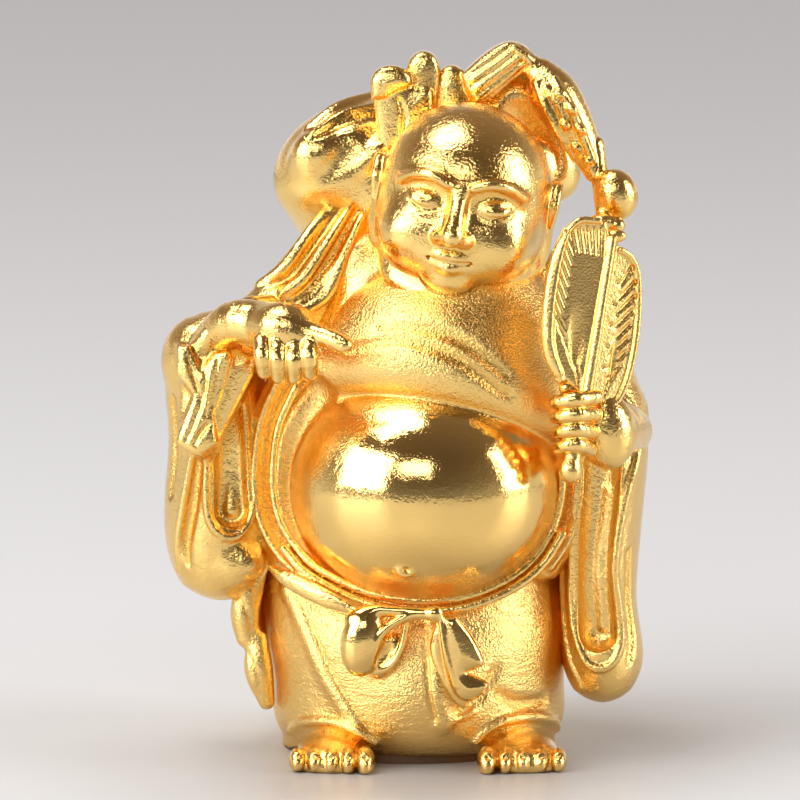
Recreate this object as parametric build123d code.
"""Gilded lucky-god figurine: a standing robed figure with a fan and a sack, built from pinned castings.

Millimetres. The figure faces -Y, +X is its left-hand side, +Z is up. The origin is the middle of the flat
underside, where it stands. Each function makes one casting, and the castings are cut back from each other
by a solder gap, so that nothing overlaps.
"""

import os

from build123d import *

# General
WALL = 1.8  # casting wall
SOLDER_GAP = 0.05  # between any two castings
PIN_PLAY = 0.02  # radial, round a pin
FLOOR = 0.0

# Belly and trunk
BELLY_CENTRE, BELLY_RADII = (1.8, -7.0, 24.9), (12.3, 11.0, 10.3)
CHEST_CENTRE, CHEST_RADII = (4.3, -6.6, 35.4), (10.2, 6.2, 4.9)
TRUNK_LEVELS = [  # z, centre x, centre y, radius x, radius y
    (11.5, 1.0, -1.0, 10.6, 9.6),
    (20.0, 1.4, -1.0, 12.2, 10.6),
    (29.0, 2.4, -1.4, 12.0, 10.0),
    (36.0, 4.0, -2.2, 10.8, 8.2),
    (41.0, 5.2, -3.0, 8.4, 6.6),
    (43.6, 5.6, -3.4, 5.6, 5.2),
]
TRUNK_CAVITY_TOP = 37.5

# Trousers and the plate that closes them
TROUSER_LEVELS = [
    (0.0, 0.9, -0.5, 12.6, 11.4),
    (2.5, 0.9, -0.5, 13.6, 12.4),
    (8.0, 0.9, -0.5, 14.1, 12.9),
    (13.0, 0.9, -0.5, 13.8, 12.6),
    (16.5, 0.9, -0.5, 12.8, 11.8),
]
PLATE_THICKNESS = 2.0

# Robe
ROBE_LEVELS = [
    (0.4, -0.4, 3.2, 14.6, 11.8),
    (10.0, 0.2, 3.0, 15.4, 12.6),
    (22.0, 1.0, 2.6, 15.9, 12.8),
    (32.0, 2.6, 2.2, 15.2, 11.6),
    (39.0, 4.2, 1.6, 13.0, 9.6),
    (44.5, 5.2, 1.0, 9.2, 7.2),
]
OPENING_CENTRE_X, OPENING_CENTRE_Z = 1.8, 24.9  # round the belly
OPENING_RADIUS = 12.9
NECKLINE = ((-3.6, 13.6), (30.0, 47.0), -1.5)  # x range, z range, furthest y
HEM_OPENING = ((-12.2, 13.8), (0.0, 20.0), -1.0)

# Sleeves: the bag that hangs from each arm, and the upper arm
RIGHT_BAG_LEVELS = [
    (13.2, -17.0, -1.4, 2.4, 4.2),
    (15.5, -17.0, -1.4, 3.9, 5.8),
    (21.0, -17.0, -1.4, 4.5, 6.6),
    (28.0, -16.9, -1.2, 4.7, 6.9),
    (34.0, -16.9, -1.0, 4.7, 6.2),
    (38.5, -16.6, -1.0, 3.2, 4.2),
]
RIGHT_SHOULDER, RIGHT_SHOULDER_RADIUS = (-4.6, 2.2, 47.6), 3.4
RIGHT_ELBOW, RIGHT_ELBOW_RADIUS = (-16.6, -1.0, 36.4), 4.3
LEFT_BAG_LEVELS = [
    (3.8, 18.2, -2.0, 1.9, 3.4),
    (6.2, 18.2, -2.0, 3.5, 5.4),
    (12.0, 18.2, -1.8, 3.8, 6.4),
    (20.0, 18.1, -1.6, 3.8, 6.6),
    (27.0, 18.3, -1.6, 3.9, 6.2),
    (32.0, 18.2, -1.6, 2.8, 4.4),
]
LEFT_SHOULDER, LEFT_SHOULDER_RADIUS = (14.0, 0.8, 40.6), 3.8
LEFT_ELBOW, LEFT_ELBOW_RADIUS = (17.8, -0.6, 30.4), 3.9

# Hands
RIGHT_WRIST, RIGHT_PALM = (-14.2, -8.6, 38.9), (-10.2, -12.0, 38.2)
RIGHT_WRIST_RADIUS, RIGHT_PALM_RADIUS = 2.3, 2.5
FINGER_RADIUS = 0.85
RIGHT_CURLED_FINGERS = [  # knuckle, tip
    ((-11.8, -13.6, 37.4), (-11.4, -13.8, 35.2)),
    ((-10.2, -14.1, 37.3), (-9.9, -14.2, 34.9)),
    ((-8.6, -14.1, 37.6), (-8.4, -14.2, 35.2)),
]
POINTING_FINGER = ((-8.0, -13.4, 39.0), (-5.2, -14.6, 38.4))
LEFT_FIST_CENTRE, LEFT_FIST_RADII = (16.2, -12.8, 30.6), (2.9, 2.7, 3.0)
LEFT_WRIST, LEFT_WRIST_RADIUS = (18.9, -8.2, 29.4), 2.4
LEFT_FINGER_PITCH, LEFT_FINGER_COUNT = 1.35, 4

# Fan
FAN_FOOT, FAN_TIP = (15.1, -14.2, 25.6), (18.5, -11.2, 49.2)
FAN_BLADE_START = 0.33  # share of the fan's length that is handle
FAN_WIDTH, FAN_THICKNESS = 8.2, 1.8
HANDLE_RADIUS, KNOB_RADIUS = 0.75, 1.15
RIB_RADIUS = 0.6

# Head
HEAD_CENTRE, HEAD_RADII = (5.8, -5.4, 50.9), (7.6, 7.7, 8.2)
HEAD_ROLL = 9.0  # degrees, towards the figure's left shoulder
EAR_OFFSET, EAR_RADII = (7.3, 1.0, -1.6), (0.9, 1.5, 3.4)
NECK_RADIUS, NECK_BOTTOM = 4.4, 43.0

# Sash and bow
SASH_CENTRE, SASH_RADII = (1.4, -3.2, 19.6), (13.2, 12.4)
SASH_TILT, SASH_CORD_RADIUS = 25.0, 0.95
KNOT_CENTRE, KNOT_RADIUS = (4.2, -14.6, 14.3), 1.15
LOOP_CENTRE, LOOP_RADII, LOOP_TURN = (-2.0, -14.2, 11.9), (3.7, 1.1, 2.5), -26.0
TAIL_CENTRE, TAIL_RADII, TAIL_TURN = (6.2, -14.0, 9.9), (1.5, 0.9, 4.4), -22.0

# Sack, its mouth and its tie
SACK_CENTRE, SACK_RADII = (2.6, 7.2, 50.6), (13.7, 9.4, 8.5)
PLEATS = [  # foot, head, radius
    ((-1.6, 3.4, 56.4), (-0.7, 2.6, 59.6), 1.5),
    ((1.0, 3.4, 56.6), (1.8, 2.4, 61.3), 1.4),
    ((4.0, 3.4, 56.8), (4.2, 2.4, 60.1), 1.25),
]
FLAP_LINES = [  # from, to, radius
    ((5.4, 3.0, 57.6), (12.6, 1.0, 62.1), 1.6),
    ((7.4, 2.4, 57.0), (13.4, 0.6, 60.4), 1.5),
    ((13.4, 0.8, 60.6), (17.2, -1.6, 54.2), 1.8),
]
TIE_TOP, TIE_FOOT, TIE_RADIUS = (17.4, -2.4, 52.8), (18.3, -6.4, 49.2), 1.0
TIE_BALL_CENTRE, TIE_BALL_RADIUS = (19.2, -4.8, 50.9), 1.95

# Feet
RIGHT_FOOT_CENTRE, LEFT_FOOT_CENTRE = (-6.2, -12.6), (10.9, -12.6)
FOOT_RADII, INSTEP_MIDDLE_Z = (3.6, 4.2, 3.6), 0.6
TOE_RADIUS, TOE_PITCH = 0.85, 1.6
TOE_LINE_Y = -3.1  # in front of the foot's centre

# Pins
NECK_PIN = ((5.6, -3.6, 39.0), (5.6, -3.6, 48.0), 1.2)  # from, to, radius
SACK_PINS = [((-1.6, 6.2, 38.5), (-1.6, 6.2, 47.5), 0.9), ((9.4, 6.2, 38.5), (9.4, 6.2, 47.5), 0.9)]
SLEEVE_PINS = [((-17.5, 1.0, 29.0), (-11.2, 1.0, 29.0), 0.8), ((15.2, 1.6, 22.0), (20.6, 1.6, 22.0), 0.8)]
FOOT_PINS = [((-6.2, -13.5, 1.0), (-6.2, -6.2, 1.0), 0.6), ((10.2, -13.5, 1.0), (8.4, -5.0, 1.0), 0.6)]


# Shapes

def ellipsoid(centre, radii, grow=0.0):
    return Pos(*centre) * scale(Sphere(1), by=tuple(r + grow for r in radii))


def ball(centre, radius):
    return Pos(*centre) * Sphere(radius)


def lofted(levels, grow=0.0):
    """A smooth body through ellipses at rising heights."""
    sections = [Pos(x, y, z) * Ellipse(a + grow, b + grow) for z, x, y, a, b in levels]
    return Solid.make_loft([section.wire() for section in sections])


def between(levels, low, high):
    """The levels with their ends moved to low and high."""
    kept = [level for level in levels if low < level[0] < high]
    return [(low, *kept[0][1:]), *kept, (high, *kept[-1][1:])]


def rod(start, end, radius, end_radius=None):
    """A straight round bar, or a cone where end_radius is given."""
    axis = Vector(end) - Vector(start)
    plane = Plane(origin=start, z_dir=axis)
    if end_radius is None:
        return Solid.make_cylinder(radius, axis.length, plane)
    return Solid.make_cone(radius, end_radius, axis.length, plane)


def limb(start, start_radius, end, end_radius):
    """A tapered bar with a round end on each side."""
    return rod(start, end, start_radius, end_radius) + ball(start, start_radius) + ball(end, end_radius)


def finger(start, end, radius=FINGER_RADIUS, grow=0.0):
    r = radius + grow
    return rod(start, end, r) + ball(start, r) + ball(end, r)


def block(x_range, y_range, z_range):
    corners = zip(x_range, y_range, z_range)
    low, high = (Vector(*corner) for corner in corners)
    size = high - low
    return Pos(*((low + high) * 0.5)) * Box(*size)


def upright(pin, grow=0.0):
    start, end, radius = pin
    return rod(start, end, radius + grow)


def largest(shape):
    """The one solid that a cut leaves, without loose crumbs."""
    return max(shape.solids(), key=lambda solid: solid.volume)


def cut(shape, *tools):
    for tool in tools:
        shape = shape - tool
    return largest(shape)


# Filled outlines, which the neighbouring castings are cut back from

def trunk(grow=0.0):
    body = lofted(TRUNK_LEVELS, grow) + ellipsoid(BELLY_CENTRE, BELLY_RADII, grow)
    return body + ellipsoid(CHEST_CENTRE, CHEST_RADII, grow)


def trouser_body(grow=0.0):
    return lofted(TROUSER_LEVELS, grow)


def robe_body(grow=0.0):
    return lofted(ROBE_LEVELS, grow)


def front_opening():
    """Everything in front of the robe's two edges: neckline, belly and the gap over the trousers."""
    reach = 40
    (x_low, x_high), z_range, deepest = NECKLINE
    neckline = block((x_low, x_high), (-reach, deepest), z_range)
    round_belly = rod(
        (OPENING_CENTRE_X, -reach, OPENING_CENTRE_Z), (OPENING_CENTRE_X, -2.0, OPENING_CENTRE_Z), OPENING_RADIUS
    )
    (x_low, x_high), z_range, deepest = HEM_OPENING
    return neckline + round_belly + block((x_low, x_high), (-reach, deepest), z_range)


def instep(centre, grow=0.0):
    x, y = centre
    return ellipsoid((x, y, INSTEP_MIDDLE_Z), FOOT_RADII, grow)


def foot_pockets():
    """The toes lie wholly in front of the trousers, so only the insteps need room."""
    return [instep(centre, SOLDER_GAP) for centre in (RIGHT_FOOT_CENTRE, LEFT_FOOT_CENTRE)]


def foot_body(centre):
    x, y = centre
    foot = instep(centre)
    for i in range(5):
        across = (i - 2) * TOE_PITCH
        sweep_back = 0.16 * abs(i - 2) ** 2
        tip = (x + across, y + TOE_LINE_Y - 0.6 + sweep_back, TOE_RADIUS)
        knuckle = (x + across * 0.9, y + TOE_LINE_Y + 2.0, TOE_RADIUS + 0.9)
        foot = foot + finger(knuckle, tip, TOE_RADIUS)
    return foot - block((x - 20, x + 20), (y - 20, y + 20), (-20, FLOOR))


def fan_point(share, side=0.0, out=0.0):
    """A point on the fan: share of its length from the foot, side across it, out towards the viewer."""
    foot, tip = Vector(*FAN_FOOT), Vector(*FAN_TIP)
    along = (tip - foot).normalized()
    across = along.cross(Vector(0, 1, 0)).normalized() * -1
    forward = along.cross(across).normalized()
    if forward.Y > 0:
        forward = forward * -1
    return foot + (tip - foot) * share + across * side + forward * out


def handle(grow=0.0):
    start, end = fan_point(0.02), fan_point(FAN_BLADE_START + 0.1)
    return rod(tuple(start), tuple(end), HANDLE_RADIUS + grow) + ball(tuple(start), KNOB_RADIUS + grow)


# Castings

def make_base_plate():
    _, x, y, a, b = TROUSER_LEVELS[0]
    inset = WALL * 0.66
    outline = Pos(x, y, FLOOR) * Ellipse(a - inset - SOLDER_GAP, b - inset - SOLDER_GAP)
    plate = extrude(outline, PLATE_THICKNESS)
    return cut(plate, *[upright(pin, PIN_PLAY) for pin in FOOT_PINS], *foot_pockets())


def make_trousers():
    _, x, y, a, b = TROUSER_LEVELS[0]
    inset = WALL * 0.66
    plate_seat = Pos(x, y, -1) * extrude(Ellipse(a - inset, b - inset), 1 + PLATE_THICKNESS + SOLDER_GAP)
    cavity = lofted(between(TROUSER_LEVELS, PLATE_THICKNESS, 14.5), -WALL)
    pins = [upright(pin, PIN_PLAY) for pin in FOOT_PINS]
    return cut(trouser_body(), trunk(SOLDER_GAP), plate_seat, cavity, *foot_pockets(), *pins)


def make_torso():
    hollow = lofted(between(TRUNK_LEVELS, 8.0, TRUNK_CAVITY_TOP), -WALL - 0.8)
    hollow = hollow + ellipsoid(BELLY_CENTRE, BELLY_RADII, -WALL)
    return cut(trunk(), hollow, upright(NECK_PIN, PIN_PLAY))


def make_robe():
    pins = [upright(pin, PIN_PLAY) for pin in SACK_PINS + SLEEVE_PINS]
    return cut(
        robe_body(),
        trunk(SOLDER_GAP),
        trouser_body(SOLDER_GAP),
        front_opening(),
        head_body(SOLDER_GAP),
        *pins,
    )


def right_sleeve_body(grow=0.0):
    arm = limb(
        RIGHT_SHOULDER, RIGHT_SHOULDER_RADIUS + grow, RIGHT_ELBOW, RIGHT_ELBOW_RADIUS + grow
    )
    return lofted(RIGHT_BAG_LEVELS, grow) + arm


def left_sleeve_body(grow=0.0):
    arm = limb(LEFT_SHOULDER, LEFT_SHOULDER_RADIUS + grow, LEFT_ELBOW, LEFT_ELBOW_RADIUS + grow)
    return lofted(LEFT_BAG_LEVELS, grow) + arm


def make_right_sleeve():
    pins = [upright(pin, PIN_PLAY) for pin in SLEEVE_PINS]
    return cut(
        right_sleeve_body(),
        robe_body(SOLDER_GAP),
        trunk(SOLDER_GAP),
        trouser_body(SOLDER_GAP),
        head_body(SOLDER_GAP),
        *pins,
    )


def make_left_sleeve():
    pins = [upright(pin, PIN_PLAY) for pin in SLEEVE_PINS]
    return cut(
        left_sleeve_body(),
        robe_body(SOLDER_GAP),
        trunk(SOLDER_GAP),
        trouser_body(SOLDER_GAP),
        head_body(SOLDER_GAP),
        *pins,
    )


def make_right_hand():
    hand = limb(RIGHT_WRIST, RIGHT_WRIST_RADIUS, RIGHT_PALM, RIGHT_PALM_RADIUS)
    for knuckle, tip in RIGHT_CURLED_FINGERS:
        hand = hand + finger(knuckle, tip)
    hand = hand + finger(*POINTING_FINGER)
    return cut(hand, right_sleeve_body(SOLDER_GAP), robe_body(SOLDER_GAP), trunk(SOLDER_GAP))


def left_hand_body():
    hand = ellipsoid(LEFT_FIST_CENTRE, LEFT_FIST_RADII)
    x, y, z = LEFT_FIST_CENTRE
    for i in range(LEFT_FINGER_COUNT):
        height = z + (i - (LEFT_FINGER_COUNT - 1) / 2) * LEFT_FINGER_PITCH
        hand = hand + finger((x + 1.2, y - 1.8, height), (x - 2.2, y - 1.2, height))
    return hand + finger(LEFT_WRIST, LEFT_FIST_CENTRE, LEFT_WRIST_RADIUS)


def make_left_hand():
    return cut(
        left_hand_body(),
        left_sleeve_body(SOLDER_GAP),
        robe_body(SOLDER_GAP),
        trunk(SOLDER_GAP),
        handle(SOLDER_GAP),
        fan_blade(SOLDER_GAP),
    )


def fan_blade(grow=0.0):
    """Pointed oval between two arcs, with its flat faces towards the viewer."""
    foot, tip = fan_point(FAN_BLADE_START), fan_point(1.0)
    length = (tip - foot).length + 2 * grow
    half = FAN_WIDTH / 2 + grow
    lower = Vector(0, -length / 2)
    upper = Vector(0, length / 2)
    right = ThreePointArc(lower, Vector(half, length * 0.06), upper)
    left = ThreePointArc(upper, Vector(-half, length * 0.06), lower)
    face = make_face(Curve() + [right, left])
    thickness = FAN_THICKNESS + 2 * grow
    plane = Plane(
        origin=tuple((foot + tip) * 0.5),
        x_dir=tuple(fan_point(0.5, 1.0) - fan_point(0.5)),
        z_dir=tuple(fan_point(0.5, 0.0, 1.0) - fan_point(0.5)),
    )
    return plane * Pos(0, 0, -thickness / 2) * extrude(face, thickness)


def make_fan():
    rib = rod(
        tuple(fan_point(FAN_BLADE_START, 0, FAN_THICKNESS / 2)),
        tuple(fan_point(0.94, 0, FAN_THICKNESS / 2)),
        RIB_RADIUS,
    )
    return cut(
        fan_blade() + handle() + rib,
        trunk(SOLDER_GAP),
        robe_body(SOLDER_GAP),
        left_sleeve_body(SOLDER_GAP),
        head_body(SOLDER_GAP),
        tie_body(SOLDER_GAP),
    )


def head_body(grow=0.0):
    skull = ellipsoid((0, 0, 0), HEAD_RADII, grow)
    x, y, z = EAR_OFFSET
    for side in (-1, 1):
        skull = skull + ellipsoid((side * x, y, z), EAR_RADII, grow)
    skull = Pos(*HEAD_CENTRE) * Rot(0, HEAD_ROLL, 0) * skull
    x, y, z = HEAD_CENTRE
    neck = rod((x, y + 1.6, NECK_BOTTOM - grow), (x, y + 1.6, z), NECK_RADIUS + grow)
    return skull + neck


def make_head():
    return cut(head_body(), trunk(SOLDER_GAP), upright(NECK_PIN, PIN_PLAY))


def make_sash():
    """The front half of a cord that lies in a tilted ellipse round the waist."""
    plane = Plane(SASH_CENTRE).rotated((SASH_TILT, 0, 0))
    path = Edge.make_ellipse(*SASH_RADII, plane=plane, start_angle=185, end_angle=355)
    section = Plane(origin=path @ 0, z_dir=path % 0) * Circle(SASH_CORD_RADIUS)
    cord = sweep(section, path=path)
    neighbours = [trunk, trouser_body, robe_body, left_sleeve_body, right_sleeve_body]
    return cut(cord, *[outline(SOLDER_GAP) for outline in neighbours])


def make_bow():
    knot = ball(KNOT_CENTRE, KNOT_RADIUS)
    loop = Pos(*LOOP_CENTRE) * Rot(0, LOOP_TURN, 0) * ellipsoid((0, 0, 0), LOOP_RADII)
    tail = Pos(*TAIL_CENTRE) * Rot(0, TAIL_TURN, 0) * ellipsoid((0, 0, 0), TAIL_RADII)
    bridge = rod(LOOP_CENTRE, KNOT_CENTRE, 0.8) + rod(KNOT_CENTRE, TAIL_CENTRE, 0.8)
    cord = largest(make_sash())
    return cut(knot + loop + tail + bridge, cord, trunk(SOLDER_GAP), trouser_body(SOLDER_GAP))


def sack_body(grow=0.0):
    return ellipsoid(SACK_CENTRE, SACK_RADII, grow)


def make_sack():
    pins = [upright(pin, PIN_PLAY) for pin in SACK_PINS]
    return cut(
        sack_body(),
        robe_body(SOLDER_GAP),
        trunk(SOLDER_GAP),
        head_body(SOLDER_GAP),
        right_sleeve_body(SOLDER_GAP),
        left_sleeve_body(SOLDER_GAP),
        *pins,
    )


def mouth_body(grow=0.0):
    lines = [finger(start, end, radius, grow) for start, end, radius in PLEATS + FLAP_LINES]
    gather = ellipsoid((6.6, 3.6, 57.0), (8.6, 2.4, 1.8), grow)
    for line in lines:
        gather = gather + line
    return gather


def make_sack_mouth():
    return cut(mouth_body(), sack_body(SOLDER_GAP), head_body(SOLDER_GAP))


def tie_body(grow=0.0):
    return finger(TIE_TOP, TIE_FOOT, TIE_RADIUS, grow) + ball(TIE_BALL_CENTRE, TIE_BALL_RADIUS + grow)


def make_sack_tie():
    return cut(tie_body(), mouth_body(SOLDER_GAP), sack_body(SOLDER_GAP), head_body(SOLDER_GAP))


def make_foot(centre):
    pins = [upright(pin, PIN_PLAY) for pin in FOOT_PINS]
    return cut(foot_body(centre), *pins)


CASTINGS = {
    "base_plate": make_base_plate,
    "trousers": make_trousers,
    "torso": make_torso,
    "robe": make_robe,
    "right_sleeve": make_right_sleeve,
    "left_sleeve": make_left_sleeve,
    "right_hand": make_right_hand,
    "left_hand": make_left_hand,
    "fan": make_fan,
    "head": make_head,
    "sash": make_sash,
    "bow": make_bow,
    "sack": make_sack,
    "sack_mouth": make_sack_mouth,
    "sack_tie": make_sack_tie,
    "right_foot": lambda: make_foot(RIGHT_FOOT_CENTRE),
    "left_foot": lambda: make_foot(LEFT_FOOT_CENTRE),
    "neck_pin": lambda: upright(NECK_PIN),
    "sack_pins": lambda: Compound([upright(pin) for pin in SACK_PINS]),
    "sleeve_pins": lambda: Compound([upright(pin) for pin in SLEEVE_PINS]),
    "foot_pins": lambda: Compound([upright(pin) for pin in FOOT_PINS]),
}

os.makedirs("parts", exist_ok=True)
for name, make in CASTINGS.items():
    export_step(make(), f"parts/{name}.step")
